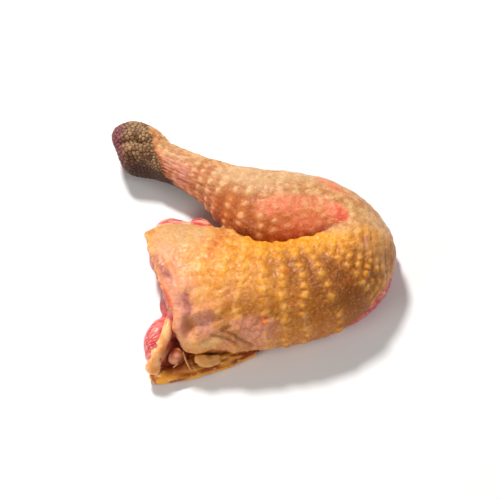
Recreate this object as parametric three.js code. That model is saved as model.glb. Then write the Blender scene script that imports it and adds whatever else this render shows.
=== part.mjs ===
// Raw guinea fowl leg: thigh, bent knee and drumstick with its scaly hock, lying on the side that
// was cut from the body, so that the skin is on top and the bare thigh muscle is underneath.
// Millimetres, +Z up. While it is modelled, +X runs from the hip to the knee and +Y from the thigh
// to the drumstick; the last lines move the origin to the middle of the box, on the table.
//
// Flesh has no flat or round faces, so every piece is a field: a function that gives the distance
// from a point to the piece's surface, negative inside. Fields are blended, cut and then covered
// with faces on a grid.

import * as THREE from "three";

// ---------------------------------------------------------------- driving dimensions

const THIGH_WIDTH = 62; // across the thigh at its fullest, near the hip
const THIGH_HEIGHT = 35; // of the skin above the table, along the thigh
const CALF_WIDTH = 35; // across the drumstick's muscle
const CALF_HEIGHT = 34.5;
const ANKLE_WIDTH = 17.5; // the thin neck above the hock
const HOCK_WIDTH = 25.6; // the scaly knob at the end
const KNEE = new THREE.Vector3(45.5, -2, 14.2); // middle of the bent knee
const KNEE_REACH = 20.6; // from there to the skin on the outside of the bend

const TABLE = 0; // height that the underside is flattened at
const GAP = 0.9; // left between touching pieces
const SKIN_AND_FAT = 4.6; // thickness of the skin with its fat, where it ends round the hip
const CUT_DEPTH = 8; // how far in from the hip cut the bare muscle is a piece of its own
const PROUD = 0.5; // how far the bare muscle bulges out of the cut

const FOLD_SOFTNESS = 4.5; // rounding of the crease where thigh and drumstick touch
const MUSCLE_SOFTNESS = 4; // rounding between two muscles
const CUT_EDGE = 3; // rounding of the edges that the knife left at the hip
const FOOT_EDGE = 8; // rounding of the rim at the foot
const SKIN_EDGE = 3; // rounding of the skin where it ends round the muscle
const FAT_EDGE = 1; // rounding of the thin edges of the fat

// The hip end was cut along a slanted plane, leaning in at the bottom, and its far corner was
// trimmed off. The foot was cut off just past the hock. Each plane's normal points away from the
// leg.
const HIP_CUT = cutPlane([-0.93, -0.311, -0.19], [-34.9, -31, 13]);
const CORNER_CUT = cutPlane([-0.63, 0.77, 0.1], [-46.7, 6.1, 23]);
const FOOT_CUT = cutPlane([-0.85, 0.53, 0], [-69.1, 61.5, 12]);

function cutPlane(normal, point) {
  const direction = new THREE.Vector3(...normal).normalize();
  return new THREE.Plane().setFromNormalAndCoplanarPoint(direction, new THREE.Vector3(...point));
}

// ---------------------------------------------------------------- fields

// Distance from a point to an ellipsoid of radii a, b and c at the origin, true near its surface.
function ellipsoidDistance(x, y, z, a, b, c) {
  const scaled = Math.hypot(x / a, y / b, z / c);
  const slope = Math.hypot(x / (a * a), y / (b * b), z / (c * c));
  return slope > 0 ? (scaled * (scaled - 1)) / slope : -Math.min(a, b, c);
}

// A round lump at a point, with its own three radii, turned by some degrees about the vertical.
function lump([x, y, z], [long, broad, thick], turn = 0) {
  const cos = Math.cos(THREE.MathUtils.degToRad(turn));
  const sin = Math.sin(THREE.MathUtils.degToRad(turn));
  return (p) => {
    const dx = p.x - x;
    const dy = p.y - y;
    return ellipsoidDistance(dx * cos + dy * sin, dy * cos - dx * sin, p.z - z, long, broad, thick);
  };
}

// A limb: oval sections strung on a smooth curve. Each section is [x, y, z, wide, tall, under]:
// its middle, its half width across the curve, and its height above and depth below the middle.
function limb(sections) {
  const LINKS_PER_SECTION = 6;
  const curveOf = (pick) => {
    const points = sections.map((section) => new THREE.Vector3(...pick(section)));
    return new THREE.CatmullRomCurve3(points, false, "catmullrom");
  };
  const spine = curveOf(([x, y, z]) => [x, y, z]);
  const girth = curveOf(([, , , wide, tall, under = tall]) => [wide, tall, under]);
  const count = (sections.length - 1) * LINKS_PER_SECTION;
  const linkAt = (i) => {
    const start = spine.getPoint(i / count);
    const along = spine.getPoint((i + 1) / count).sub(start);
    const ahead = along.clone().normalize();
    const side = new THREE.Vector3(ahead.y, -ahead.x, 0).normalize();
    const top = side.clone().cross(ahead);
    const [from, to] = [girth.getPoint(i / count), girth.getPoint((i + 1) / count)];
    return { start, along, ahead, side, top, from, to };
  };
  const links = Array.from({ length: count }, (_, i) => linkAt(i));
  const offset = new THREE.Vector3();
  return (p) => {
    let nearest = Infinity;
    for (const { start, along, ahead, side, top, from, to } of links) {
      offset.copy(p).sub(start);
      const t = THREE.MathUtils.clamp(offset.dot(along) / along.lengthSq(), 0, 1);
      offset.addScaledVector(along, -t);
      const [onward, across, up] = [offset.dot(ahead), offset.dot(side), offset.dot(top)];
      const wide = THREE.MathUtils.lerp(from.x, to.x, t);
      const half = up > 0 ? "y" : "z";
      const tall = THREE.MathUtils.lerp(from[half], to[half], t);
      nearest = Math.min(nearest, ellipsoidDistance(onward, across, up, wide, wide, tall));
    }
    return nearest;
  };
}

// Both fields as one, with the corner between them filled to a radius of about k.
function smoothUnion(a, b, k) {
  const near = Math.max(k - Math.abs(a - b), 0) / k;
  return Math.min(a, b) - (near * near * k) / 4;
}

// What both fields share, with the edge between them rounded to a radius of about k.
function smoothShare(a, b, k) {
  return -smoothUnion(-a, -b, k);
}

// ---------------------------------------------------------------- thigh and drumstick

const thigh = limb([
  [-58, -13, 12, THIGH_WIDTH / 2 - 1, 18, 14],
  [-32, -17, 12.5, THIGH_WIDTH / 2, 20, 14.5],
  [-13.5, -19.2, 13, THIGH_WIDTH / 2 - 0.7, THIGH_HEIGHT - 13.5, 15],
  [4.5, -21.5, 13, 26.3, THIGH_HEIGHT - 12.7, 15],
  [22.5, -20, 13, 24.4, THIGH_HEIGHT - 12.7, 15],
  [36, -14, 13.6, 22.9, THIGH_HEIGHT - 13.2, 15.2],
  [KNEE.x, KNEE.y, KNEE.z, KNEE_REACH, THIGH_HEIGHT - 15.4, 15.5],
]);

const drumstick = limb([
  [KNEE.x, KNEE.y, KNEE.z, KNEE_REACH, THIGH_HEIGHT - 15.4, 15.5],
  [43, 9.5, 14.6, 18.4, 19.6, 15.8],
  [34, 17.2, 15, CALF_WIDTH / 2 + 0.6, CALF_HEIGHT - 14.7, 16.3],
  [20, 20.2, 15, CALF_WIDTH / 2 + 2, CALF_HEIGHT - 14.8, 16.5],
  [6, 22.6, 15, CALF_WIDTH / 2 + 1.4, CALF_HEIGHT - 15.2, 16.3],
  [-4.5, 28.2, 14.8, 14.8, 18.2, 15.5],
  [-14, 35.2, 14.4, 10.6, 14.8, 13],
  [-24, 41.9, 13.7, 8.9, 10.8, 10.2],
  [-34, 47.8, 13, ANKLE_WIDTH / 2, ANKLE_WIDTH / 2, 8.5],
  [-44.2, 53.5, 12.2, 9.5, 10, 10.2],
  [-54.6, 59.2, 12, HOCK_WIDTH / 2, HOCK_WIDTH / 2, 12],
  [-66, 62.8, 12, 12.2, 11.6, 11.8],
]);

const skinned = (p) => {
  const trimmed = smoothShare(thigh(p), CORNER_CUT.distanceToPoint(p), CUT_EDGE);
  const limbs = smoothUnion(trimmed, drumstick(p), FOLD_SOFTNESS);
  return smoothShare(limbs, FOOT_CUT.distanceToPoint(p), FOOT_EDGE);
};

// ---------------------------------------------------------------- bare muscle

// The inner side of the thigh, seen from underneath, which runs on into the cut face at the hip.
const innerThigh = limb([
  [-50, -14, 0, 22, 9, 9],
  [-32, -17, 0, 24.5, 9.5, 9.5],
  [-13.5, -19, 0, 24.5, 9.5, 9.5],
  [10, -20, 0, 19.5, 9.5, 9.5],
  [33, -13, 0, 17, 9, 9],
]);

// The muscle's rim, which shows past the skin's edge low round the outside of the knee.
const kneeRim = limb([
  [57, 19, 6.5, 3, 3.5],
  [62.6, 10, 7, 4, 4.5],
  [63.8, 1, 7.5, 4.2, 5],
  [61.4, -9, 7.5, 4.4, 5],
  [55.5, -19.5, 7, 4.4, 5],
  [47, -27.4, 6.5, 4.2, 5],
  [37, -32.5, 5.5, 3.6, 4.5],
]);

// Muscles that swell past the skin's edge: two at the far edge, two on the cut face, one low at
// the near corner, and one under the knee.
const muscleEnds = [
  lump([-37, 13, 8], [8.5, 8.8, 7]),
  lump([-24, 12.8, 8], [8, 8.5, 7]),
  lump([-36, -21, 8], [5, 9, 6], -18),
  lump([-38.5, 0, 11], [7, 10, 9], -18),
  lump([-40.6, -42.5, 8.5], [6.8, 11.5, 9], -10),
  lump([-33, -46, 1.5], [9, 9, 5]),
  lump([44.5, -5, 4], [20, 22, 6.5]),
  kneeRim,
];

function muscle(p) {
  const pastCut = HIP_CUT.distanceToPoint(p);
  const insideSkin = thigh(p) + SKIN_AND_FAT + GAP;
  const cutFace = smoothShare(insideSkin, -CUT_DEPTH - pastCut, CUT_EDGE);
  const inner = smoothUnion(innerThigh(p), cutFace, MUSCLE_SOFTNESS);
  const pastHip = smoothShare(pastCut, CORNER_CUT.distanceToPoint(p), CUT_EDGE);
  const trimmed = smoothShare(inner, pastHip - PROUD, CUT_EDGE);
  return muscleEnds.reduce((all, end) => smoothUnion(all, end(p), MUSCLE_SOFTNESS), trimmed);
}

// ---------------------------------------------------------------- hip joint, fat and skin flap

const jointKnob = lump([-33.5, -50, 9], [4, 4, 4]);
const fatPad = lump([-18.8, -51, 8], [6.8, 4, 3], 8);
const fatStrip = limb([
  [-34.6, -33, 18.5, 2, 2],
  [-35.6, -38.5, 19.2, 2.3, 2.3],
  [-36.9, -43.5, 18.6, 2.5, 2.5],
  [-38.8, -48, 16.8, 2.7, 2.6],
  [-41.4, -52.3, 13.6, 3.1, 2.9],
  [-42.9, -55.3, 8.7, 3.6, 3.4],
]);
const fatFlap = limb([
  [-40.4, -56.5, 2.4, 4.5, 4, 3],
  [-33, -53.5, 2.5, 6.5, 4.8, 3],
  [-23, -49.5, 2.5, 7.5, 4.8, 3],
  [-12, -46.6, 2.5, 6.5, 4.6, 3],
  [1, -41.6, 2.5, 5, 4, 3],
]);

// ---------------------------------------------------------------- pieces, each clear of the others

// A field cut off flat where the piece lies on the table.
const onTable = (p, field) => Math.max(field, TABLE - p.z);

// A field cut back to a gap from other fields, with the thin edges that this leaves rounded off.
function clearOf(field, edge, ...others) {
  return others.reduce((left, other) => smoothShare(left, GAP - other, edge), field);
}

const skin = (p) => smoothShare(skinned(p), HIP_CUT.distanceToPoint(p), CUT_EDGE);
const leg = (p) => clearOf(skin(p), SKIN_EDGE, muscle(p));
const flap = (p) => clearOf(fatFlap(p), FAT_EDGE, muscle(p), leg(p), jointKnob(p), fatStrip(p));

const pieces = {
  leg: (p) => onTable(p, leg(p)),
  thigh_muscle: (p) => onTable(p, muscle(p)),
  fat_strip: (p) => clearOf(fatStrip(p), FAT_EDGE, muscle(p), leg(p)),
  fat_flap: (p) => onTable(p, flap(p)),
  hip_knob: (p) => clearOf(jointKnob(p), FAT_EDGE, muscle(p), leg(p)),
  fat_pad: (p) => clearOf(fatPad(p), FAT_EDGE, leg(p), flap(p)),
};

// ---------------------------------------------------------------- faces

// Grid lines from one value to another, at the spacing that the given function asks for there.
function gridLines(from, to, spacingAt) {
  const lines = [from];
  while (lines.at(-1) < to) {
    lines.push(lines.at(-1) + spacingAt(lines.at(-1)));
  }
  return lines;
}

// A grid of one spacing over a box given by its low and high corners.
function evenGrid(low, high, spacing) {
  return low.map((from, axis) => gridLines(from, high[axis], () => spacing));
}

// Faces over the zero level of a field. Each cell of the grid that the surface passes through
// holds one point near the surface, and each grid edge that it crosses gets two triangles.
function facesOf(field, grid) {
  const [nx, ny, nz] = grid.map((lines) => lines.length);
  const stride = [1, nx, nx * ny];
  const corner = (i, j, k) => i + j * stride[1] + k * stride[2];
  const eachCorner = (from, to, visit) => {
    for (let k = from; k < nz - to; k++) {
      for (let j = from; j < ny - to; j++) {
        for (let i = from; i < nx - to; i++) {
          visit(i, j, k);
        }
      }
    }
  };
  const at = (i, j, k) => new THREE.Vector3(grid[0][i], grid[1][j], grid[2][k]);

  const values = new Float64Array(nx * ny * nz);
  eachCorner(0, 0, (i, j, k) => {
    values[corner(i, j, k)] = field(at(i, j, k));
  });
  let opened;
  do {
    opened = 0;
    eachCorner(0, 1, (i, j, k) => {
      opened += openDiagonals(values, corner(i, j, k), stride);
    });
  } while (opened > 0);

  const points = [];
  const pointOf = new Map();
  eachCorner(0, 1, (i, j, k) => {
    const cell = { low: at(i, j, k), high: at(i + 1, j + 1, k + 1) };
    const middle = crossingsMiddle(values, corner(i, j, k), stride, cell);
    if (!middle) return;
    pointOf.set(corner(i, j, k), points.length);
    points.push(pulledOnto(field, middle, cell));
  });

  const faces = [];
  eachCorner(1, 1, (i, j, k) => {
    const here = corner(i, j, k);
    const inside = values[here] < 0;
    for (let axis = 0; axis < 3; axis++) {
      if (inside === values[here + stride[axis]] < 0) continue;
      const u = stride[(axis + 1) % 3];
      const v = stride[(axis + 2) % 3];
      const ring = [here - u - v, here - v, here, here - u].map((cell) => pointOf.get(cell));
      const [a, b, c, d] = inside ? ring : ring.reverse();
      const splitAC = points[a].distanceTo(points[c]) <= points[b].distanceTo(points[d]);
      faces.push(splitAC ? [a, b, c] : [a, b, d], splitAC ? [a, c, d] : [b, c, d]);
    }
  });
  const geometry = new THREE.BufferGeometry().setFromPoints(points);
  geometry.setIndex(faces.flat());
  return geometry;
}

// Where only a diagonal joins two inside corners of a cell's side, the shallower one is put just
// outside, so that no edge of the surface is shared by two sheets. Returns how many were.
function openDiagonals(values, here, stride) {
  const JUST_OUTSIDE = 0.01;
  let opened = 0;
  for (let axis = 0; axis < 3; axis++) {
    const u = stride[(axis + 1) % 3];
    const v = stride[(axis + 2) % 3];
    const ring = [here, here + u, here + u + v, here + v];
    const inside = ring.filter((corner) => values[corner] < 0);
    const onDiagonal = ring.indexOf(inside[1]) - ring.indexOf(inside[0]) === 2;
    if (inside.length !== 2 || !onDiagonal) continue;
    const [a, b] = inside;
    values[values[a] > values[b] ? a : b] = JUST_OUTSIDE;
    opened++;
  }
  return opened;
}

// The mean of the places where the surface crosses the twelve edges of a cell, or null.
function crossingsMiddle(values, first, stride, { low, high }) {
  const ends = [low, high];
  const sum = new THREE.Vector3();
  const place = new THREE.Vector3();
  let count = 0;
  for (let edge = 0; edge < 12; edge++) {
    const axis = edge % 3;
    const [u, v] = [(axis + 1) % 3, (axis + 2) % 3];
    const [onU, onV] = [(edge / 3) & 1, (edge / 6) & 1];
    const start = first + onU * stride[u] + onV * stride[v];
    const [a, b] = [values[start], values[start + stride[axis]]];
    if (a < 0 === b < 0) continue;
    place.setComponent(u, ends[onU].getComponent(u));
    place.setComponent(v, ends[onV].getComponent(v));
    const along = THREE.MathUtils.lerp(low.getComponent(axis), high.getComponent(axis), a / (a - b));
    place.setComponent(axis, along);
    sum.add(place);
    count++;
  }
  return count ? sum.divideScalar(count) : null;
}

// A point moved a little way down the field's slope, towards its zero level.
function pulledOnto(field, point, { low, high }) {
  const STEPS = 2;
  const PROBE = 0.02; // how far to each side the slope is measured
  const LONGEST = 0.4; // most that one step moves the point
  const LEAST_SLOPE = 0.5; // a flatter field is taken to be this steep
  const slope = new THREE.Vector3();
  const probe = new THREE.Vector3();
  for (let step = 0; step < STEPS; step++) {
    const here = field(point);
    for (let axis = 0; axis < 3; axis++) {
      probe.copy(point).setComponent(axis, point.getComponent(axis) + PROBE);
      slope.setComponent(axis, (field(probe) - here) / PROBE);
    }
    slope.multiplyScalar(-here / Math.max(slope.lengthSq(), LEAST_SLOPE ** 2));
    slope.clampLength(0, LONGEST);
    point.add(slope).clamp(low, high);
  }
  return point;
}

// ---------------------------------------------------------------- the object

// The grid that each piece's faces are laid on. The leg's is closer at the hock and the hip, and
// along the crease.
const HEIGHTS = gridLines(-2.8, 38, () => 2.8);
const HOCK_AND_HIP_END = -22;
const CREASE = { from: -3, to: 7 };
const grids = {
  leg: [
    gridLines(-75, 72, (x) => (x < HOCK_AND_HIP_END ? 2.5 : 3.4)),
    gridLines(-60, 80, (y) => (y > CREASE.from && y < CREASE.to ? 1.8 : 3.1)),
    HEIGHTS,
  ],
  thigh_muscle: [gridLines(-56, 72, () => 3.5), gridLines(-62, 28, () => 3.5), HEIGHTS],
  fat_strip: evenGrid([-51, -63, 1], [-28, -26, 26], 1.7),
  fat_flap: evenGrid([-49, -65, -4.2], [9, -33, 10], 2.1),
  hip_knob: evenGrid([-41, -58, 1], [-26, -42, 17], 1.7),
  fat_pad: evenGrid([-28, -57, 2], [-10, -44, 13], 1.4),
};

const finishes = {
  leg: { color: 0xd9a066, roughness: 0.5 },
  thigh_muscle: { color: 0xb8454a, roughness: 0.4 },
  fat_strip: { color: 0xeaa85c, roughness: 0.4 },
  fat_flap: { color: 0xd88f35, roughness: 0.45 },
  hip_knob: { color: 0xd9a583, roughness: 0.35 },
  fat_pad: { color: 0xd8a76a, roughness: 0.45 },
};

const group = new THREE.Group();
for (const [name, field] of Object.entries(pieces)) {
  const material = new THREE.MeshStandardMaterial({ ...finishes[name], metalness: 0 });
  const mesh = new THREE.Mesh(facesOf(field, grids[name]), material);
  mesh.name = name;
  group.add(mesh);
}

// The origin goes to the middle of the box, on the table.
const box = new THREE.Box3().setFromObject(group);
group.position.set(-(box.min.x + box.max.x) / 2, -(box.min.y + box.max.y) / 2, -box.min.z);

export default group;
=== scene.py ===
"""A raw guinea fowl leg: thigh, bent knee and drumstick with its scaly hock.

The leg lies on its cut side. Each solid of the frame is covered again with a fine even mesh, which
is then shaped like the real thing: folds and wrinkles, feather follicles, the grains of the shank's
horny skin, muscle fibres and soft fat. What is worked out while a surface is shaped, such as how
near a follicle is, is kept on its points, and the materials read it there.

Lengths are in millimetres until a mesh is written back, and +Z is up.
"""

import itertools
import math

import bmesh
import bpy
import numpy as np
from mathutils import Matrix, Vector
from mathutils.kdtree import KDTree


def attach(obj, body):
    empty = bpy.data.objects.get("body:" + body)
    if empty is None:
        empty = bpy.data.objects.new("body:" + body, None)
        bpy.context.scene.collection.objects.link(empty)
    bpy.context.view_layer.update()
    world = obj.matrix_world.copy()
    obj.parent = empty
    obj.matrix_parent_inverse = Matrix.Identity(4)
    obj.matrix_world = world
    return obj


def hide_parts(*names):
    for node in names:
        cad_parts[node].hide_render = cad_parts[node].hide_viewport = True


MM = 0.001

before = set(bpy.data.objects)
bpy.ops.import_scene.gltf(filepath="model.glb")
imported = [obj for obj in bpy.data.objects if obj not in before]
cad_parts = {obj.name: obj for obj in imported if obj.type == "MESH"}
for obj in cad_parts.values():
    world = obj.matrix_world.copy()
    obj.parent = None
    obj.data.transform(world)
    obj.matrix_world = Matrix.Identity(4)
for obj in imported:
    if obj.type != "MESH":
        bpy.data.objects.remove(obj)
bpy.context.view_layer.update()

# ---------------------------------------------------------------- sizes and places

# The line through the middle of the leg, from the hip to the hock: x, y, z and the flesh's radius.
LEG_LINE = np.array([
    (-58.8, -19.1, 12.0, 30.0),
    (-32.8, -23.1, 12.5, 31.0),
    (-14.3, -25.3, 13.0, 30.0),
    (3.7, -27.6, 13.0, 26.3),
    (21.7, -26.1, 13.0, 24.4),
    (35.2, -20.1, 13.6, 22.9),
    (44.7, -8.1, 14.2, 20.6),
    (42.2, 3.4, 14.6, 18.4),
    (33.2, 11.1, 15.0, 18.1),
    (19.2, 14.1, 15.0, 19.5),
    (5.2, 16.5, 15.0, 18.9),
    (-5.3, 22.1, 14.8, 16.0),
    (-14.8, 29.1, 14.4, 12.0),
    (-24.8, 35.8, 13.7, 9.5),
    (-34.8, 41.7, 13.0, 8.8),
    (-45.0, 47.4, 12.2, 9.8),
    (-55.4, 53.1, 12.0, 12.6),
    (-66.8, 56.7, 12.0, 12.1),
])
KNEE_AT = 6  # the point of it that is at the bent knee, counted from 0
NECK_AT = 13  # and the one where the drumstick has narrowed to its neck
STRETCHES = np.linalg.norm(np.diff(LEG_LINE[:, :3], axis=0), axis=1)
LENGTHS = np.concatenate([[0], np.cumsum(STRETCHES)])  # along the line, at each of its points

# Rows of feather follicles: how far along the line, how far apart the rows are there, and how far
# apart the follicles of a row are.
FEATHERS = np.array([
    (0, 8.5, 4.9),
    (92, 8.5, 4.9),
    (100, 2.8, 4.9),
    (124, 2.8, 4.9),
    (136, 6.4, 5.2),
    (185, 6.4, 4.8),
    (205, 4.4, 3.8),
    (225, 3.6, 3.4),
])
FIRST_ROW = 4.4  # along the line
LEAST_GAP = 2.9  # between two follicles, also where rows meet
DOME_RADIUS = 1.75  # the small dome of skin round a feather's root
DOME_HEIGHT = 0.5
BASE_WIDTH = 4.6  # the wide low swelling under a dome
BASE_HEIGHT = 0.5  # on the thigh, and half of it on the drumstick
PORE_WIDTH = 0.6
PORE_DEPTH = 0.1
WRINKLE_DEPTH = 0.3  # the small wrinkles between follicles

# The shank's horny skin: x where y is 47, and up to what height the skin is horny there.
HORNY_HEIGHT = np.array([
    (-51, 45),
    (-45.2, 18),
    (-41, 12.5),
    (-36, 9.5),
    (-28, 6.5),
    (-22, -6),
])
SMALL_GRAIN = 1.15  # how far apart its grains are at the ankle
LARGE_GRAIN = 1.65  # and at the foot
GRAIN_HEIGHT = 0.5

# Where the drumstick lies against the thigh: x and y of the valley, how far its bottom is pulled
# towards the thigh, and how deep the crease in it is.
CREASE = np.array([
    (-19, 7, 0, 0),
    (-13, 5, 0.5, 1),
    (-9, 3, 1.5, 2),
    (-5, 1.2, 4.0, 3.5),
    (-1, -0.5, 6.0, 4),
    (5, -3, 5.4, 4),
    (11, -4.2, 3.6, 4.5),
    (17, -5, 1.8, 5),
    (23, -4.4, 2.2, 4.5),
    (29, -3, 2.2, 3.5),
    (35, -1.2, 1.4, 2),
    (41, -0.4, 0.6, 1),
    (46, 0, 0, 0),
])

# The knife's planes: a point on each, and its direction away from the leg.
HIP_CUT = ((-35.6, -36.9, 13.0), (-0.93, -0.311, -0.19))
FOOT_CUT = ((-69.8, 55.6, 12.0), (-0.85, 0.53, 0.0))

# Patches of the thigh's and drumstick's skin, seen from above: x and y of the middle, half length
# and half width, turn in degrees, softness of the edge, and strength.
PATCHES = {
    # yellow fat right under the skin
    "golden": [
        (18, -13, 26, 8, 0, 0.5, 1.0),
        (48, -6, 11, 9, -20, 0.6, 0.8),
        (4, -26, 26, 14, -4, 0.7, 0.5),
    ],
    # thick dull skin between the follicles
    "olive": [
        (32, -28, 26, 13, -8, 0.6, 1.0),
        (50, -22, 8, 11, 20, 0.6, 0.8),
        (12, -42, 22, 6, 4, 0.7, 0.6),
    ],
    # pale cream skin
    "cream": [
        (-31, -4, 13, 12, 10, 0.6, 0.9),
        (-4, 24, 22, 7, -8, 0.7, 0.8),
        (16, 24, 22, 7, 4, 0.7, 0.7),
        (-34, 42, 10, 6, -30, 0.6, 0.6),
        (58, -5, 6, 14, 0, 0.7, 0.7),
    ],
    # pink, where the skin was pulled thin round the hip and over the tendons
    "rosy": [
        (-33, -36, 8, 16, 14, 0.7, 0.9),
        (-38, -20, 4, 12, 20, 0.8, 0.6),
        (-26, -46, 10, 7, 10, 0.7, 0.7),
        (-2, -50.5, 13, 4.5, 6, 0.4, 1.0),
        (-30.6, -50, 2.6, 4.6, 0, 0.6, 1.0),
        (-33, 33.5, 4, 3, -30, 0.6, 0.9),
        (-38, 40, 6, 2.6, -32, 0.8, 0.4),
    ],
    # red flesh that shows through thin skin
    "thin": [
        (13, 8, 11, 5, 6, 0.4, 0.9),
        (26, 8.5, 9, 4, 4, 0.6, 0.5),
        (24, -0.5, 13, 4.5, 6, 0.5, 0.75),
        (38.4, 4.2, 6.4, 4.2, -32, 0.18, 1.0),
        (36.8, 20, 9, 3, -42, 0.35, 0.85),
    ],
    # dried blood
    "blood": [
        (41, 2.4, 3.6, 2.6, -32, 0.5, 0.8),
        (5.5, -47, 1.6, 0.8, 40, 0.5, 0.9),
        (14, -27.5, 2.6, 0.8, 12, 0.5, 0.5),
        (20, -5, 8, 2, 0, 0.6, 0.5),
        (-38.4, -37, 7, 1.9, -63, 0.5, 0.9),
        (-17, -14, 8, 1.6, 62, 0.8, 0.35),
        (-22, -11, 6, 1.2, 58, 0.8, 0.3),
    ],
    # brown-gold, stretched and dried
    "dry": [
        (-9.5, -51.6, 7, 2.4, -24, 0.7, 0.9),
        (-10.6, -49.6, 1.8, 1.6, 0, 0.6, 1.0),
        (-26, -48.6, 2, 2.4, 0, 0.7, 0.7),
    ],
    # dull purple, bruised
    "bruise": [
        (-21, -50, 7, 4.5, 16, 0.7, 0.85),
        (-30.5, -41, 2.2, 8, 14, 0.7, 0.5),
        (-37.6, -26, 1.2, 6, 24, 0.6, 0.8),
        (-7, -36, 8, 5, 0, 0.8, 0.3),
        (50.5, -12, 2, 3, 0, 0.6, 0.7),
        (-36, 36, 12, 4.5, -34, 0.8, 0.5),
    ],
}

# Swellings and hollows in the loose skin near the hip, seen from above as the patches are, with
# their height last. A hollow's height is below 0.
SWELLINGS = [
    (-26, -54, 6, 2.8, 8, 0.7, 2.0),
    (-31.5, -48, 2.6, 4.4, 0, 0.7, 1.6),
    (-30, -33, 3, 3.4, 0, 0.8, 0.9),
    (-24.6, -38.4, 1.8, 1.8, 0, 0.7, 0.8),
    (-24.4, -45, 1.7, 1.6, 0, 0.7, 0.8),
    (-23.6, -50.6, 1.6, 1.2, 0, 0.7, 0.8),
    (-16, -44, 3, 2.4, 0, 0.8, 0.7),
    (-9, -41, 2.6, 2.2, 0, 0.8, 0.7),
    (-1, -51, 11, 3.6, 6, 0.6, 0.8),
    (-21.5, -48.4, 7, 3, 14, 0.7, -1.9),
    (-27.5, -50, 1.8, 3.4, 12, 0.8, -1.6),
    (-35, -26.5, 1.3, 7, 24, 0.8, -1.0),
]

# Wrinkled scar near the hip: the lines of its grooves.
SCAR = [
    [(-12.4, -51, 24), (-7.7, -51.9, 22.9), (-3.7, -53.4, 20), (0.2, -54.3, 16)],
    [(-16.4, -52.4, 22.3), (-11, -53.2, 21.4), (-7, -54, 19.2)],
    [(-12, -50.6, 24.6), (-10, -50, 25.4)],
]

# The torn edge of the skin low on the hip end, and two veins further up.
PURPLE_LINES = [
    [(-36.4, -41.5, 25), (-34.6, -46.5, 17), (-32.6, -51, 13), (-29.6, -56, 8)],
    [(-43, -17.5, 30.6), (-40.4, -23, 31.4), (-37, -28, 31.9)],
    [(-28.8, -37, 31), (-28.2, -40, 30), (-27, -43.6, 29)],
]

# The slit where a pad of fat shows between the skin's low edge and the fold of fat under it: the
# skin's edge over it, and its lower side.
SLIT_TOP = [
    (-26.6, -57, 7.6),
    (-22, -55, 10.4),
    (-17, -55.3, 14.2),
    (-10.8, -55.3, 12),
    (-2, -53.6, 4.6),
]
SLIT_LOW = [
    (-26.6, -57, 7.6),
    (-24.6, -60.2, 7),
    (-19, -62, 7),
    (-13, -60, 6),
    (-7, -56.4, 5),
]

# The smooth rounded edge of the skin above that slit, painted brighter along it as painted light.
ROLL = [
    (-31, -51.7, 18.5),
    (-27.9, -53.8, 17.7),
    (-24.4, -54.4, 17),
    (-20.9, -54.4, 17.9),
    (-15, -53.7, 20),
]

# The groove between the muscle's two bundles at the far side of the hip.
BUNDLE_GROOVE = [(-30.5, 1, 14), (-30, 8, 15), (-29.6, 14, 11)]

# The wet hollow round the hip joint's knob.
RECESS = (-34.5, -57.5, 8)

# Thin strands of tendon at the hip end: the places that each one passes.
STRANDS = [
    [(-30.4, -55, 11.6), (-29.6, -57.4, 9.4), (-28.2, -60.4, 7.6), (-26.6, -62.2, 6.6)],
    [(-30.4, -55.4, 11.4), (-31.4, -58, 9.6), (-33.2, -60, 8), (-34.8, -60.8, 7)],
    [(-40.2, -60.4, 9.6), (-41, -62.6, 8), (-42, -64.4, 6.2)],
]
STRAND_RADIUS = 0.45

# The photo's view: what is in its middle, how steeply and from how far it looks down, and a lens
# on film 36 mm wide.
CAMERA_TARGET = (-0.688, -5.946, 16.5)
CAMERA_DOWN = 60  # degrees
CAMERA_AWAY = 543.06
CAMERA_LENS = 85

# ---------------------------------------------------------------- numbers on arrays of points


def ramp(value, low, high):
    """0 below low and 1 above high, smooth between."""
    t = np.clip((value - low) / (high - low), 0, 1)
    return t * t * (3 - 2 * t)


def bell(distance, width):
    """1 at no distance, and next to nothing past the width."""
    return np.exp(-((distance / (0.6 * width)) ** 2))


def spot(points, x, y, long, wide, turn=0, edge=0.35, strength=1):
    """An oval patch seen from above. Turn is in degrees, edge a share of the oval."""
    c, s = math.cos(math.radians(turn)), math.sin(math.radians(turn))
    dx, dy = points[:, 0] - x, points[:, 1] - y
    away = np.hypot((dx * c + dy * s) / long, (dy * c - dx * s) / wide)
    return strength * (1 - ramp(away, 1 - edge, 1 + edge))


GRADIENTS = np.random.default_rng(3).normal(size=(256, 3))
GRADIENTS /= np.linalg.norm(GRADIENTS, axis=1)[:, None]
SHUFFLE = np.random.default_rng(4).permutation(256)


def noise(points, size, seed=0):
    """Smooth lumps about as large as the size, from about -1 to 1. The size may differ along x, y
    and z, and each seed shows another place of the same endless lumps."""
    grid = points / np.array(size) + 7.31 * (seed + 1)
    cell = np.floor(grid).astype(int)
    part = grid - cell
    blend = part**3 * (part * (part * 6 - 15) + 10)
    total = np.zeros(len(points))
    for corner in itertools.product((0, 1), repeat=3):
        x, y, z = ((cell + corner) % 256).T
        slope = GRADIENTS[SHUFFLE[(SHUFFLE[(SHUFFLE[x] + y) % 256] + z) % 256]]
        share = np.prod(np.where(corner, blend, 1 - blend), axis=1)
        total += share * ((part - corner) * slope).sum(axis=1)
    return 1.6 * total


def mottle(points, size, seed, low=-0.4, high=0.4):
    """Uneven patches of two sizes, from 0 to 1."""
    return ramp(noise(points, size, seed) + 0.5 * noise(points, size / 2.3, seed + 1), low, high)


def shaken(points, far, size, seeds):
    """The points, each moved by up to that far by noise, so that what is drawn there is uneven."""
    return points + far * np.stack([noise(points, size, seed) for seed in seeds], axis=1)


def plane_distance(points, plane):
    """How far each point is past a plane."""
    direction = np.array(plane[1]) / np.linalg.norm(plane[1])
    return (points - np.array(plane[0])) @ direction


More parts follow.
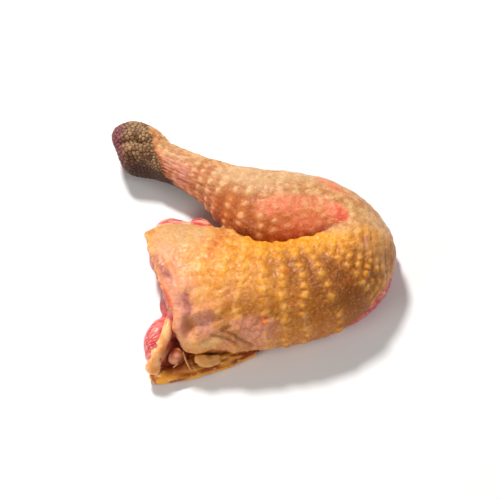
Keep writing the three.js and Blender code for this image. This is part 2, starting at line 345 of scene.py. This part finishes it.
def line_distance(points, *lines):
    """Distance from each point to the nearest of some chains of straight stretches."""
    best = np.full(len(points), np.inf)
    for line in lines:
        line = np.array(line)
        for a, b in zip(line[:-1], line[1:]):
            stretch = b - a
            t = np.clip(((points - a) @ stretch) / (stretch @ stretch), 0, 1)
            best = np.minimum(best, np.linalg.norm(points - a - t[:, None] * stretch, axis=1))
    return best


def two_nearest(points, centres):
    """Distance from each point to the nearest centre and to the next one, and which is nearest."""
    tree = KDTree(len(centres))
    for i, centre in enumerate(centres):
        tree.insert(centre, i)
    tree.balance()
    pairs = [tree.find_n(point, 2) for point in points]
    away, next_away = np.array([(first[2], second[2]) for first, second in pairs]).T
    return away, next_away, np.array([first[1] for first, _ in pairs])


# ---------------------------------------------------------------- surfaces that are shaped


def fine_copy(node, name, grain, smoothing):
    """A new piece over a solid of the frame: an even mesh of that grain, with its facets smoothed."""
    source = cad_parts[node]
    piece = bpy.data.objects.new(name, source.data.copy())
    bpy.context.collection.objects.link(piece)
    remesh = piece.modifiers.new("even", "REMESH")
    remesh.mode = "VOXEL"
    remesh.voxel_size = grain * MM
    smooth = piece.modifiers.new("facets", "SMOOTH")
    smooth.factor = 0.5
    smooth.iterations = smoothing
    evaluated = piece.evaluated_get(bpy.context.evaluated_depsgraph_get())
    mesh = bpy.data.meshes.new_from_object(evaluated)
    piece.modifiers.clear()
    piece.data = mesh
    mesh.name = name
    mesh.materials.clear()
    mesh.shade_smooth()
    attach(piece, "root")
    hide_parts(node)
    return piece


def read_points(piece, kind="co"):
    """The places of the mesh's points in millimetres, or their normals."""
    flat = np.empty(len(piece.data.vertices) * 3)
    piece.data.vertices.foreach_get(kind, flat)
    return flat.reshape(-1, 3) / (MM if kind == "co" else 1)


def set_points(piece, points):
    """Moves the mesh's points, and keeps them from sinking into the table."""
    points[:, 2] = np.maximum(points[:, 2], 0)
    piece.data.vertices.foreach_set("co", (points * MM).ravel())
    piece.data.update()


def raise_surface(piece, height):
    """Moves each point out along the surface's normal, by its own height in millimetres."""
    set_points(piece, read_points(piece) + height[:, None] * read_points(piece, "normal"))


def keep(piece, values):
    """Keeps named numbers for each point on the mesh, for the material to read."""
    for name, numbers in values.items():
        attribute = piece.data.attributes.new(name, "FLOAT", "POINT")
        attribute.data.foreach_set("value", numbers.astype(np.float32))


def split_faces(piece, wanted):
    """Halves the mesh's grain wherever both ends of an edge are wanted."""
    mesh = bmesh.new()
    mesh.from_mesh(piece.data)
    edges = [e for e in mesh.edges if wanted[e.verts[0].index] and wanted[e.verts[1].index]]
    bmesh.ops.subdivide_edges(mesh, edges=edges, cuts=1, use_grid_fill=True)
    mesh.to_mesh(piece.data)
    mesh.free()
    piece.data.shade_smooth()


# ---------------------------------------------------------------- the skin


def make_skin():
    """The skin of the whole leg, with a finer mesh on the hock for its small grains."""
    piece = fine_copy("leg", "skin", grain=0.55, smoothing=14)
    split_faces(piece, horny_share(read_points(piece)) > 0.02)
    along, angle = place_on_leg(read_points(piece))
    press_crease(piece)
    fold_skin(piece, along, angle)
    return piece


def place_on_leg(points):
    """For each point: how far along the leg's line it is, and its angle round it."""
    on_thigh = points[:, 1] < np.interp(points[:, 0], CREASE[:, 0], CREASE[:, 1])
    best = np.full(len(points), np.inf)
    along = np.zeros(len(points))
    angle = np.zeros(len(points))
    for i, length in enumerate(STRETCHES):
        start, end = LEG_LINE[i : i + 2, :3]
        ahead = (end - start) / length
        t = np.clip((points - start) @ ahead, 0, length)
        outward = points - start - t[:, None] * ahead
        away = np.linalg.norm(outward, axis=1)
        side = np.array((ahead[1], -ahead[0], 0)) / math.hypot(ahead[0], ahead[1])
        top = np.cross(side, ahead)
        nearer = (away < best) & np.where(on_thigh, i <= KNEE_AT, i >= KNEE_AT)
        best[nearer] = away[nearer]
        along[nearer] = LENGTHS[i] + t[nearer]
        angle[nearer] = np.arctan2(outward @ side, outward @ top)[nearer]
    return along, angle


def horny_share(points):
    """1 on the shank's horny skin, which reaches further along underneath, and 0 on soft skin."""
    x, y, z = points.T
    slanted = x + 0.3 * (y - 47) + 1.3 * noise(points, 3.5, 2)
    height = np.interp(slanted, HORNY_HEIGHT[:, 0], HORNY_HEIGHT[:, 1])
    return ramp(height - z + 1.2 * noise(points, 5, 1), -3.5, 2.5) * ramp(y, 10, 20)


def press_crease(piece):
    """Pulls the drumstick over towards the thigh, and presses in the narrow crease between them,
    which the thigh's skin stands over."""
    points = read_points(piece)
    x, y, z = points.T
    valley, pull, depth = (np.interp(x, CREASE[:, 0], column) for column in CREASE.T[1:])
    on_top = ramp(z, 13, 19)
    reach = np.where(y < valley, 11, 18)
    points[:, 1] -= on_top * pull * bell(y - valley, reach)
    side = points[:, 1] - valley + pull + 0.5 * noise(points * (1, 0, 0), 7, 2)
    lip = on_top * ramp(depth, 0, 4) * ramp(-side, 0.4, 2.4) * (1 - ramp(-side, 4, 13))
    lip *= 0.85 + 0.25 * noise(points, 3.6, 3)
    away = np.abs(side / np.where(side < 0, 1.2, 2.8))
    points[:, 2] += 1.8 * lip - on_top * depth * np.exp(-(away**1.4))
    points[:, 1] += 1.5 * lip * (1 - ramp(-side, 3, 8))
    set_points(piece, points)
    # The crease share also sets where the skin is painted dark red-brown, as painted shade at the
    # bottom of the crease.
    keep(piece, {"crease": on_top * ramp(depth, 0, 3) * np.exp(-(away**1.5))})


def fold_skin(piece, along, angle):
    """Wrinkles, hollows, follicles and horny grains, and where each colour of the skin lies."""
    rng = np.random.default_rng(11)
    points = read_points(piece)
    x, y, z = points.T
    normals = read_points(piece, "normal")
    drumstick = ramp(along, LENGTHS[KNEE_AT] - 6, LENGTHS[KNEE_AT] + 8)
    horny = horny_share(points)
    near_hip = 1 - ramp(y, 20, 30)
    cut_hip = ramp(plane_distance(points, HIP_CUT), -1.6, -0.3) * near_hip
    cut_foot = ramp(plane_distance(points, FOOT_CUT), -1.2, -0.3)
    soft = (1 - horny) * (1 - cut_hip)

    # The large forms: lumps of the fat underneath, folds, the scar and the ragged cut edge.
    tendons = lengthwise_folds(along, angle, drumstick) * (1 - ramp(horny, 0.3, 0.8))
    creases = knee_creases(points)
    scar = line_distance(points, *SCAR)
    low_edge = ramp(-y, 49, 54) * (1 - ramp(z, 9, 15)) * ramp(x, -36, -31) * (1 - ramp(x, 0, 12))
    ragged = bell(plane_distance(points, HIP_CUT), 6) * noise(points, 4, 8)
    height = 0.5 * noise(points, 12, 5)
    height += soft * (0.3 * noise(points, 4.5, 6) + 0.2 * noise(points, 2.1, 7))
    height += 0.5 * creases + 0.8 * tendons + hock_form(points) + hip_form(points)
    height += 0.7 * low_edge * torn_folds(points) - 0.7 * bell(scar, 1.5)
    height += 1.1 * near_hip * ragged
    raise_surface(piece, height)

    # The small ones, on the surface as it now is: wrinkles, follicles and horny grains.
    points = read_points(piece)
    patches = skin_patches(points, drumstick)
    loose = looseness(points, normals, drumstick) * (1 - 0.9 * patches["thin"])
    wrinkle = bell(noise(points, (2.6, 3.6, 3.0), 15), 0.4) * soft * loose * (1 - drumstick)
    dome, base, pore = follicles(points, along, angle, rng)
    grain, tone = horny_grains(points, horny * (1 - cut_foot), rng)
    follicle = DOME_HEIGHT * dome + BASE_HEIGHT * (1 - 0.5 * drumstick) * base
    raised = soft * (loose * follicle - PORE_DEPTH * pore)
    raised -= WRINKLE_DEPTH * wrinkle * (1 - 0.7 * dome)
    raise_surface(piece, raised + GRAIN_HEIGHT * (1 + 0.3 * tone) * grain)

    keep(piece, {
        "drumstick": drumstick,
        "shaded_side": drumstick * ramp(-normals[:, 1], -0.1, 0.5),
        "horny": horny,
        "cut_hip": cut_hip,
        "cut_foot": cut_foot,
        "dome": dome * soft * (0.35 + 0.65 * loose),
        "gap": (1 - base) * loose * soft * (1 - 0.6 * patches["cream"]),
        # painted shade: the small wrinkles, darkened in their grooves by the material
        "wrinkle": wrinkle * (1 - dome),
        "pore": pore * soft,
        "grain": grain,
        "grain_tone": tone,
        # dark brown along the scar's lines, and painted shade in the knee's creases
        "groove": np.maximum(bell(scar, 1.6), 0.6 * ramp(-creases, 0.1, 0.6)),
        # the skin's orange-yellow border on the crests of the low edge's torn folds, and painted
        # light on that down-facing edge
        "low_edge": low_edge * ramp(torn_folds(points), -0.5, 0.4),
        # painted shade: the slit round the pad of fat, to be painted dark brown
        "hidden": slit_share(points),
        # painted light along the skin's rounded edge above the slit, which faces down
        "roll": bell(line_distance(points, ROLL), 4),
        "tendon_gap": ramp(-tendons, 0.05, 0.5),
        "purple": bell(line_distance(points, *PURPLE_LINES), 2.4),
        "mottle": mottle(points, 8, 41),
        "blotch": mottle(points, 3.2, 44, -0.1, 0.6),
    })
    keep(piece, patches)


def knee_creases(points):
    """Folds across the outside of the bent knee, about 5 mm apart, with narrow creases between."""
    x, y, z = points.T
    across = x - 40.8 + 0.03 * np.clip(x - 46, 0, None) ** 2 + 0.004 * (y + 22) ** 2
    phase = across / 5.2 + 0.22 * noise(points, 12, 12)
    where = ramp(x, 37, 42) * ramp(-y, 3, 7) * (1 - ramp(-y, 21, 33)) * ramp(z, 10, 20)
    fold = np.abs(np.sin(math.pi * phase)) - 0.64
    return where * fold * (0.8 + 0.6 * noise(points, 5, 13))


def lengthwise_folds(along, angle, drumstick):
    """Narrow wrinkles along the drumstick, deep and close where its skin is loose above the hock."""
    radius = np.interp(along, LENGTHS, LEG_LINE[:, 3])
    flat = np.stack([along / 11, angle * radius / 1.6, np.zeros(len(along))], axis=1)
    deep = drumstick * (0.16 + 0.84 * ramp(along, LENGTHS[NECK_AT] - 24, LENGTHS[NECK_AT] - 4))
    return deep * (0.6 - 2 * np.abs(noise(flat, 1, 14)))


def hock_form(points):
    """The hock's two knuckles, with a furrow between them and a hollow on the near side."""
    seen = points * (1, 1, 0)
    top = ramp(points[:, 2], 10, 17)
    upper = line_distance(seen, [(-60, 53.4, 0), (-57, 54.4, 0), (-50, 52.6, 0)])
    furrow = line_distance(seen, [(-63, 49.6, 0), (-60, 49.9, 0), (-56, 49.8, 0), (-51.4, 48.6, 0)])
    lower = line_distance(seen, [(-59.6, 45.6, 0), (-57, 46.2, 0), (-50.5, 44.6, 0)])
    hollow = spot(points, -52.5, 40, long=5.5, wide=3.4, turn=-24, edge=0.6)
    knuckles = 0.9 * bell(upper, 3.6) + 1.2 * bell(lower, 3) - 1.9 * bell(furrow, 2.2)
    return top * knuckles - 1.5 * hollow * ramp(points[:, 2], 6, 12)


def hip_form(points):
    """Swellings and hollows in the loose skin near the hip."""
    return ramp(points[:, 2], 8, 14) * sum(spot(points, *swelling) for swelling in SWELLINGS)


def torn_folds(points):
    """Thin folds that run along the low edge of the hip end, in the skin and in the fat alike."""
    turned = points @ np.array([(0.96, -0.28, 0), (0.28, 0.96, 0), (0, 0, 1)])
    return noise(turned, (10, 1.7, 2.4), 31)


def slit_border(points, width):
    """1 on the edges of the eye-shaped slit round the pale pad of fat."""
    return bell(line_distance(points, SLIT_TOP, SLIT_LOW), width)


def slit_share(points):
    """1 in the slit round the pad of fat, which the materials darken there as painted shade."""
    x, y, z = points.T
    edge_x, _, edge_z = np.array(SLIT_TOP).T
    under = (1 - ramp(z - np.interp(x, edge_x, edge_z, -99, -99), -0.8, 0.4)) * ramp(-y, 51, 53)
    return np.maximum(slit_border(points, 1.6), under)


def looseness(points, normals, drumstick):
    """How far the follicles stand up: least where the skin is stretched over the muscle."""
    x, y, z = points.T
    thigh = np.maximum.reduce([
        spot(points, 36, -30, long=36, wide=24, turn=-10, edge=0.5),
        0.8 * ramp(-y, 34, 46) * ramp(x, -14, 0),
        0.7 * ramp(x, -34, -5),
        np.full(len(points), 0.25),
    ])
    calf = 0.25 + 0.75 * ramp(-normals[:, 1] - 0.012 * (x + 10), -0.35, 0.25)
    calf *= 1 - 0.5 * ramp(-x, 22, 34)
    return thigh + drumstick * (calf - thigh)


def follicles(points, along, angle, rng):
    """Feather follicles in rows round the leg. For each point: the share of a follicle's small dome
    and of its wide base there, and how near its pore is."""
    rows = [FIRST_ROW]
    while rows[-1] < LENGTHS[-1]:
        rows.append(rows[-1] + np.interp(rows[-1], FEATHERS[:, 0], FEATHERS[:, 1]))
    centres = []
    for row, ring in zip(rows, rings_round_leg(points, along, angle, rows)):
        gap = np.interp(row, FEATHERS[:, 0], FEATHERS[:, 2])
        steps = np.linalg.norm(np.diff(ring, axis=0), axis=1)
        passed = np.concatenate([[0], np.cumsum(steps)])
        places = np.arange(rng.uniform(0, gap), passed[-1], gap)
        places += rng.normal(0, 0.1 * gap, len(places))
        centres.extend(np.stack([np.interp(places, passed, ring[:, k]) for k in range(3)], axis=1))
    centres = far_apart(np.array(centres) + rng.normal(0, 0.35, (len(centres), 3)), LEAST_GAP)
    away, _, which = two_nearest(shaken(points, 0.45, 2.4, (61, 62, 63)), centres)
    size = rng.uniform(0.8, 1.2, len(centres))[which]
    depth = rng.uniform(0.1, 1.0, len(centres))[which]
    dome = np.clip(1 - (away / (DOME_RADIUS * size)) ** 2, 0, 1) ** 1.3
    return dome, bell(away, BASE_WIDTH), depth * np.exp(-((away / PORE_WIDTH) ** 2))


def rings_round_leg(points, along, angle, rows):
    """For each row, a closed ring of the mesh's own points round the leg, found with the leg laid
    out flat as if its radius were 20 mm all along."""
    turns = np.linspace(-math.pi, math.pi, 121)
    laid_flat = np.stack([along, 20 * angle, np.zeros(len(along))], axis=1)
    wanted = np.array([(row, 20 * turn, 0) for row in rows for turn in turns])
    _, _, at = two_nearest(wanted, laid_flat)
    return points[at].reshape(len(rows), len(turns), 3)


def far_apart(centres, least):
    """Leaves out each centre that is nearer than the least distance to one before it."""
    taken = []
    for centre in centres:
        if not taken or np.linalg.norm(np.array(taken) - centre, axis=1).min() > least:
            taken.append(centre)
    return np.array(taken)


def horny_grains(points, horny, rng):
    """Round grains side by side all over the hock, larger towards the foot. For each point: the
    height of its grain, and that grain's own tone."""
    on_hock = np.flatnonzero(horny > 0.2)
    hock = points[on_hock]
    gap = SMALL_GRAIN + (LARGE_GRAIN - SMALL_GRAIN) * ramp(-hock[:, 0], 46, 56)
    taken = {}  # by boxes as wide as the largest gap, so a grain's neighbours are in boxes that touch
    chosen = []
    for i in rng.permutation(len(hock)):
        key = tuple((hock[i] // LARGE_GRAIN).astype(int))
        around = itertools.product(*[(k - 1, k, k + 1) for k in key])
        others = [j for place in around for j in taken.get(place, ())]
        if all(np.linalg.norm(hock[i] - hock[j]) > gap[i] for j in others):
            taken.setdefault(key, []).append(i)
            chosen.append(i)
    away, next_away, which = two_nearest(hock, hock[chosen])
    grain = np.zeros(len(points))
    tone = np.zeros(len(points))
    grain[on_hock] = (1 - (away / next_away) ** 3) * horny[on_hock]
    tone[on_hock] = rng.uniform(0, 1, len(chosen))[which]
    return grain, tone


def skin_patches(points, drumstick):
    """Where each kind of patch shows through the skin, uneven at its edges."""
    uneven = shaken(points, 1.6, 6, (51, 52, 53))
    upper = ramp(points[:, 2], 6, 14)
    limbs = {"golden": 1 - drumstick, "olive": 1 - drumstick, "thin": drumstick}
    patches = {}
    for kind, spots in PATCHES.items():
        share = np.maximum.reduce([spot(uneven, *place) for place in spots])
        patches[kind] = upper * limbs.get(kind, 1) * share
    return patches


# ---------------------------------------------------------------- flesh and fat


def make_flesh():
    """The bare thigh muscle: fibres that run lengthwise, with a groove between two bundles."""
    piece = fine_copy("thigh_muscle", "flesh", grain=0.55, smoothing=10)
    points = read_points(piece)
    x, y, z = points.T
    lengthwise, sideways = points @ (0.95, 0.3, 0), points @ (-0.3, 0.95, 0)
    bundle = noise(np.stack([lengthwise / 16, sideways / 6, z / 8], axis=1), 1, 21)
    fibre = noise(np.stack([lengthwise / 9, sideways / 1.6, z / 1.6], axis=1), 1, 22)
    groove = line_distance(points, BUNDLE_GROOVE)
    raise_surface(piece, 0.5 * bundle + 0.2 * fibre - 0.9 * bell(groove, 2))
    between_bundles = 0.7 * bell(bundle, 0.12) * mottle(points, 9, 24, 0, 0.5)
    keep(piece, {
        "seam": np.maximum(bell(groove, 1.6), between_bundles),
        "fibre_gap": ramp(-fibre, 0, 0.6),
        "recess": recess_share(points),
        "film": ramp(y, 3, 9) * mottle(points / (2.5, 1, 1), 2.2, 26, -0.1, 0.4),
        "end": bell(y + 26, 14) * ramp(-x, 33, 37),
    })
    return piece


def recess_share(points):
    """1 in the wet hollow round the hip joint's knob."""
    return 1 - ramp(np.linalg.norm((points - RECESS) / (1.25, 1, 1), axis=1), 5, 9)


def make_fat(node, name, grain, lump, size):
    """Soft fat in lumps of a height and a size."""
    piece = fine_copy(node, name, grain, smoothing=8)
    points = read_points(piece)
    # The lumps' crests keep the fat's pale colour, and the material darkens their hollows as painted
    # shade.
    folds = noise(points, size, 31)
    raise_surface(piece, lump * folds + 0.2 * lump * noise(points, 1.6, 32))
    # The second share puts painted shade on the edges of the slit round the pad.
    keep(piece, {"fold": ramp(folds, -0.5, 0.4), "hidden": 0.8 * slit_border(points, 1.1)})
    return piece


def make_fold():
    """The thin fold of fat along the low edge, torn into long folds."""
    piece = fine_copy("fat_flap", "fat_fold", grain=0.35, smoothing=8)
    points = read_points(piece)
    # The folds' crests keep the fat's pale colour, and the material darkens their hollows as painted
    # shade.
    folds = torn_folds(points)
    raise_surface(piece, 0.8 * folds + 0.15 * noise(points, 1.6, 32))
    # Painted shade in the slit round the pad and in the hollow round the joint's knob.
    hidden = np.maximum(slit_border(points, 2.2), recess_share(points))
    keep(piece, {"fold": ramp(folds, -0.4, 0.3), "hidden": hidden})
    return piece


def make_strand(name, places):
    """A thin tendon strand through some places, thinner at its ends."""
    curve = bpy.data.curves.new(name, "CURVE")
    curve.dimensions = "3D"
    curve.bevel_depth = STRAND_RADIUS * MM
    curve.bevel_resolution = 3
    curve.use_fill_caps = True
    spline = curve.splines.new("NURBS")
    spline.points.add(len(places) - 1)
    for i, (point, place) in enumerate(zip(spline.points, places)):
        point.co = (*[c * MM for c in place], 1)
        point.radius = 0.5 if i in (0, len(places) - 1) else 1
    spline.use_endpoint_u = True
    line = bpy.data.objects.new(name, curve)
    strand = bpy.data.objects.new(name, bpy.data.meshes.new_from_object(line))
    bpy.data.objects.remove(line)
    bpy.context.collection.objects.link(strand)
    strand.data.shade_smooth()
    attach(strand, "root")
    return strand


# ---------------------------------------------------------------- materials


def linear(hex_colour):
    """An sRGB colour such as "F2A84A" as linear red, green, blue and alpha."""
    parts = [int(hex_colour[i : i + 2], 16) / 255 for i in (0, 2, 4)]
    return [c / 12.92 if c <= 0.04045 else ((c + 0.055) / 1.055) ** 2.4 for c in parts] + [1.0]


def add(tree, kind, inputs=(), **settings):
    """Adds a shader node with its settings. Each input gets another node's output, a number or a
    colour in hex."""
    node = tree.nodes.new("ShaderNode" + kind)
    for name, value in settings.items():
        setattr(node, name, value)
    for socket, value in dict(inputs).items():
        if isinstance(value, bpy.types.NodeSocket):
            tree.links.new(value, node.inputs[socket])
        elif isinstance(value, str):
            node.inputs[socket].default_value = linear(value)
        else:
            node.inputs[socket].default_value = value
    return node


def new_material(name):
    """An empty material, and its tree of nodes."""
    material = bpy.data.materials.new(name)
    material.use_nodes = True
    material.node_tree.nodes.clear()
    return material, material.node_tree


def pattern(tree, size, detail=2.0, drawn_out=1, turn=0.0):
    """Noise with lumps of a size in millimetres, drawn out that many times along one direction,
    which is turned about z by some degrees."""
    place = add(tree, "TexCoord").outputs["Object"]
    turned = add(tree, "Mapping", {"Vector": place, "Rotation": (0, 0, math.radians(turn))})
    scale = (1 / (size * MM * drawn_out), 1 / (size * MM), 1 / (size * MM))
    laid = add(tree, "Mapping", {"Vector": turned.outputs[0], "Scale": scale})
    lumps = add(tree, "TexNoise", {"Vector": laid.outputs[0], "Scale": 1.0, "Detail": detail})
    return lumps.outputs["Fac"]


def paint(tree, colour, coats):
    """Lays coats of colour over a first one. Each coat is its colour, its greatest share, and what
    the share follows: numbers kept on the mesh by name, another share, or a pattern with the values
    where the share is least and most, and those two shares if they aren't 0 and 1."""
    for coat, share, *followed in coats:
        for lead in followed:
            if isinstance(lead, str):
                lead = add(tree, "Attribute", attribute_name=lead).outputs["Fac"]
            elif isinstance(lead, tuple):
                names = ("Value", "From Min", "From Max", "To Min", "To Max")
                lead = add(tree, "MapRange", zip(names, lead), interpolation_type="SMOOTHSTEP")
                lead = lead.outputs["Result"]
            share = add(tree, "Math", {0: share, 1: lead}, operation="MULTIPLY").outputs[0]
        mix = add(tree, "Mix", {"Factor": share, 6: colour, 7: coat}, data_type="RGBA")
        colour = mix.outputs[2]
    return colour


def finish(tree, colour, roughness, relief, depth):
    """A moist surface of raw flesh: a fine relief, a thin wet film, the index of watery tissue, and
    a little light that sinks in, red furthest."""
    bump = add(tree, "Bump", {"Height": relief, "Distance": depth * MM, "Strength": 1.0})
    shader = add(tree, "BsdfPrincipled", {
        "Base Color": colour,
        "Roughness": roughness,
        "IOR": 1.4,
        "Specular IOR Level": 0.3,
        "Normal": bump.outputs[0],
        "Subsurface Weight": 0.08,
        "Subsurface Radius": (1.0, 0.35, 0.15),
        "Subsurface Scale": 1.2 * MM,
        "Coat Weight": 0.06,
        "Coat Roughness": 0.2,
    })
    add(tree, "OutputMaterial", {"Surface": shader.outputs[0]})


def raw_skin():
    """Plucked poultry skin over yellow fat. Soft and moist, golden where the fat is thick, red where
    flesh shows through, with pale follicles, and horny brown grains at the hock."""
    material, tree = new_material("raw_poultry_skin")
    # The skin's finest wrinkles are 0.3 mm wide, which doesn't show, so they are drawn coarser.
    wrinkling = pattern(tree, size=1.1, detail=3.0)
    # Fibres of the muscle, seen through the skin along the drumstick.
    fibres = pattern(tree, size=0.45, drawn_out=9, turn=-32)
    # Small spots of dried blood and of colour under the skin.
    freckles = add(
        tree,
        "MapRange",
        {"Value": pattern(tree, size=2.0), "From Min": 0.45, "From Max": 0.7},
        interpolation_type="SMOOTHSTEP",
    ).outputs["Result"]

    thigh = paint(tree, "F2A448", [
        ("DA8030", 0.8, "mottle"),
        ("FECB84", 0.6, "blotch"),
        ("BC6818", 0.8, "gap"),
    ])
    calf = paint(tree, "D4985E", [
        ("BE7A44", 1.0, "mottle"),
        ("F0C890", 0.6, "blotch"),
        ("B07A48", 0.5, (fibres, 0.5, 0.68)),
        ("DC7630", 0.85, "shaded_side"),
    ])
    bump = paint(tree, "FBB440", [("FBD6A4", 1.0, "drumstick")])
    torn_skin = paint(tree, "B4646C", [("7A2624", 1.0, freckles)])
    hip_end = paint(tree, "E8A070", [("B0403C", 1.0, freckles)])
    foot_end = paint(tree, "8A4448", [("6A2C36", 1.0, freckles)])
    colour = paint(tree, thigh, [
        (calf, 1.0, "drumstick"),
        ("D6AC7C", 0.8, "cream"),
        ("FFAA28", 0.9, "golden"),
        ("F4A488", 1.0, "rosy", (wrinkling, 0.2, 0.6, 0.6, 0.9)),
        ("C87C22", 0.6, "olive"),
        ("824408", 1.0, "olive", "gap"),
        # painted shade: darker orange-brown in the grooves of the small wrinkles
        ("B05C18", 0.55, "wrinkle"),
        ("9E4C1E", 0.9, "drumstick", "gap"),
        ("A0647A", 1.0, "bruise", (freckles, 0, 1, 0.35, 0.8)),
        ("E87A56", 1.0, "thin", (fibres, 0.35, 0.6, 0.55, 1)),
        ("D93A1C", 0.8, "blood"),
        ("C06C4C", 0.75, "tendon_gap"),
        (bump, 0.5, "dome"),
        ("E07A12", 0.7, "pore"),
        ("B8742A", 0.8, "dry"),
        # orange-yellow on the crests of the torn folds at the low edge: the skin's border colour, and
        # painted light on that down-facing edge
        ("F0A848", 0.9, "low_edge"),
        # painted light: pale gold along the skin's rounded edge above the slit
        ("FFC888", 0.7, "roll"),
        # dark brown along the scar's lines, and painted shade in the knee's creases
        ("8A4A1C", 0.6, "groove"),
        # painted shade: dark brown in the slit round the pad of fat
        ("8A3A16", 0.9, "hidden"),
        (torn_skin, 0.85, "purple"),
        # painted shade: dark red-brown at the bottom of the crease between thigh and drumstick
        ("7A2408", 0.85, "crease"),
        ("A8580C", 0.3, (wrinkling, 0.52, 0.7)),
        ("FFD090", 0.2, (wrinkling, 0.48, 0.3)),
        (horn_colour(tree), 1.0, "horny"),
        (hip_end, 1.0, "cut_hip"),
        (foot_end, 1.0, "cut_foot"),
    ])
    relief = add(tree, "Math", {0: wrinkling, 1: fibres}, operation="ADD").outputs[0]
    finish(tree, colour, roughness=0.42, relief=relief, depth=0.25)
    return material


def horn_colour(tree):
    """Horny skin: tan or brown grains with dark gaps and purple at the foot, darker towards the
    bottom: partly the shank's own dark underside, partly painted shade on its lower side.
    """
    x, _, z = add(tree, "SeparateXYZ", {0: add(tree, "TexCoord").outputs["Object"]}).outputs
    grain = paint(tree, "6C4426", [
        ("B48C60", 1.0, "grain_tone"),
        # darker towards the bottom: the shank's dark underside, and painted shade on its lower side
        ("3E2016", 0.9, (z, 22 * MM, 13 * MM)),
        ("84424A", 0.9, (x, -58 * MM, -65 * MM)),
    ])
    height = add(tree, "Attribute", attribute_name="grain").outputs["Fac"]
    return paint(tree, "2E1A10", [(grain, 1.0, (height, 0.1, 0.8))])


def raw_muscle():
    """Bare wet muscle: glossy pink-red fibres 0.6 mm thick, in bundles of 2.2 mm, paler in streaks,
    with fat in the seams."""
    material, tree = new_material("raw_muscle")
    streaks = pattern(tree, size=0.6, drawn_out=8, turn=-17)
    bundles = pattern(tree, size=2.2, drawn_out=6, turn=-17)
    colour = paint(tree, "CC444A", [
        ("EE7C74", 1.0, (bundles, 0.38, 0.62)),
        ("B8323A", 0.6, "fibre_gap"),
        ("F8BCA8", 0.7, (streaks, 0.52, 0.7)),
        ("7C1C1A", 1.0, "end", (streaks, 0.35, 0.6, 0.4, 1)),
        ("F4B894", 0.85, "film"),
        ("D0683E", 0.85, "recess"),
        ("F6CBA4", 0.85, "seam"),
    ])
    finish(tree, colour, roughness=0.28, relief=streaks, depth=0.2)
    return material


def soft_fat(name, light, deep):
    """Body fat, tendon or gristle: yellow or pale, with painted shade that darkens the hollows
    between its folds and lumps, and with lobules 2.2 mm wide. It is smooth and greasy, with a finer
    relief of 0.9 mm, so its gloss is soft."""
    material, tree = new_material(name)
    # The deep colour is painted shade in the hollows of the folds, and the pale one lies on their
    # crests.
    colour = paint(tree, deep, [
        (light, 1.0, "fold"),
        ("FAD0A0", 0.5, (pattern(tree, size=2.2), 0.55, 0.75)),
        # painted shade: dark brown in the slit round the pad and in the hollow round the knob
        ("8A3A16", 0.9, "hidden"),
    ])
    finish(tree, colour, roughness=0.3, relief=pattern(tree, size=0.9), depth=0.15)
    return material


# ---------------------------------------------------------------- stage


def make_floor():
    """A plain pale table top."""
    bpy.ops.mesh.primitive_plane_add(size=3, location=(0, 0, -0.2 * MM))
    floor = bpy.context.object
    floor.name = "table_top"
    material, tree = new_material("matt_white_laminate")
    shader = add(tree, "BsdfPrincipled", {"Base Color": "F4F3F1", "Roughness": 0.7})
    add(tree, "OutputMaterial", {"Surface": shader.outputs[0]})
    floor.data.materials.append(material)


def aim(thing, target):
    """Turns a lamp or camera to look at a place."""
    thing.rotation_euler = (Vector(target) - thing.location).to_track_quat("-Z", "Y").to_euler()


def area_light(name, place, size, power):
    """A round soft lamp that shines on the leg. Its place and size are in metres, its power in
    watts."""
    data = bpy.data.lights.new(name, "AREA")
    data.shape = "DISK"
    data.size = size
    data.energy = power
    light = bpy.data.objects.new(name, data)
    light.location = place
    bpy.context.collection.objects.link(light)
    aim(light, (0, 0, 0.01))


def make_stage():
    """The table top, three lamps and a pale room, as soft as in the photo."""
    make_floor()
    area_light("window", place=(-0.24, 0.5, 0.78), size=0.16, power=9.4)
    area_light("ceiling", place=(0.45, -0.3, 0.8), size=0.6, power=1.8)
    area_light("side_lamp", place=(-0.7, -0.5, 0.4), size=0.4, power=3.0)
    world = bpy.data.worlds.new("pale_room")
    world.use_nodes = True
    background = world.node_tree.nodes["Background"]
    background.inputs["Color"].default_value = (1, 1, 1, 1)
    background.inputs["Strength"].default_value = 0.18
    bpy.context.scene.world = world
    bpy.context.scene.view_settings.view_transform = "Standard"


def make_camera():
    """Looks at the leg as the photo does."""
    target = Vector(CAMERA_TARGET) * MM
    down = math.radians(CAMERA_DOWN)
    data = bpy.data.cameras.new("camera")
    data.lens = CAMERA_LENS
    data.sensor_width = 36
    camera = bpy.data.objects.new("camera", data)
    camera.location = target + CAMERA_AWAY * MM * Vector((0, -math.cos(down), math.sin(down)))
    bpy.context.collection.objects.link(camera)
    aim(camera, target)
    bpy.context.scene.camera = camera


# ---------------------------------------------------------------- the leg


def wear(piece, material):
    """Gives a piece its material."""
    piece.data.materials.append(material)


# Each fat's deep colour is painted shade for the hollows between its folds and lumps.
yellow_fat = soft_fat("yellow_fat", light="FCAA3C", deep="9C4612")
creamy_fat = soft_fat("creamy_fat", light="FCBE80", deep="EE9048")
pale_fat = soft_fat("pale_fat", light="F2B268", deep="C07A34")
gristle = soft_fat("cartilage", light="DE9470", deep="A8502E")
tendon = soft_fat("tendon", light="F6C88C", deep="E8A860")

skin = make_skin()
flesh = make_flesh()
fat_strand = make_fat("fat_strip", "fat_strand", grain=0.3, lump=0.3, size=5)
pale_pad = make_fat("fat_pad", "pale_pad", grain=0.25, lump=0.3, size=4)
fat_fold = make_fold()
joint_knob = make_fat("hip_knob", "joint_knob", grain=0.3, lump=0.2, size=3)
strands = [make_strand(f"tendon_strand_{i}", places) for i, places in enumerate(STRANDS)]

wear(skin, raw_skin())
wear(flesh, raw_muscle())
wear(fat_strand, creamy_fat)
wear(pale_pad, pale_fat)
wear(fat_fold, yellow_fat)
wear(joint_knob, gristle)
for strand in strands:
    wear(strand, tendon)

make_camera()
make_stage()
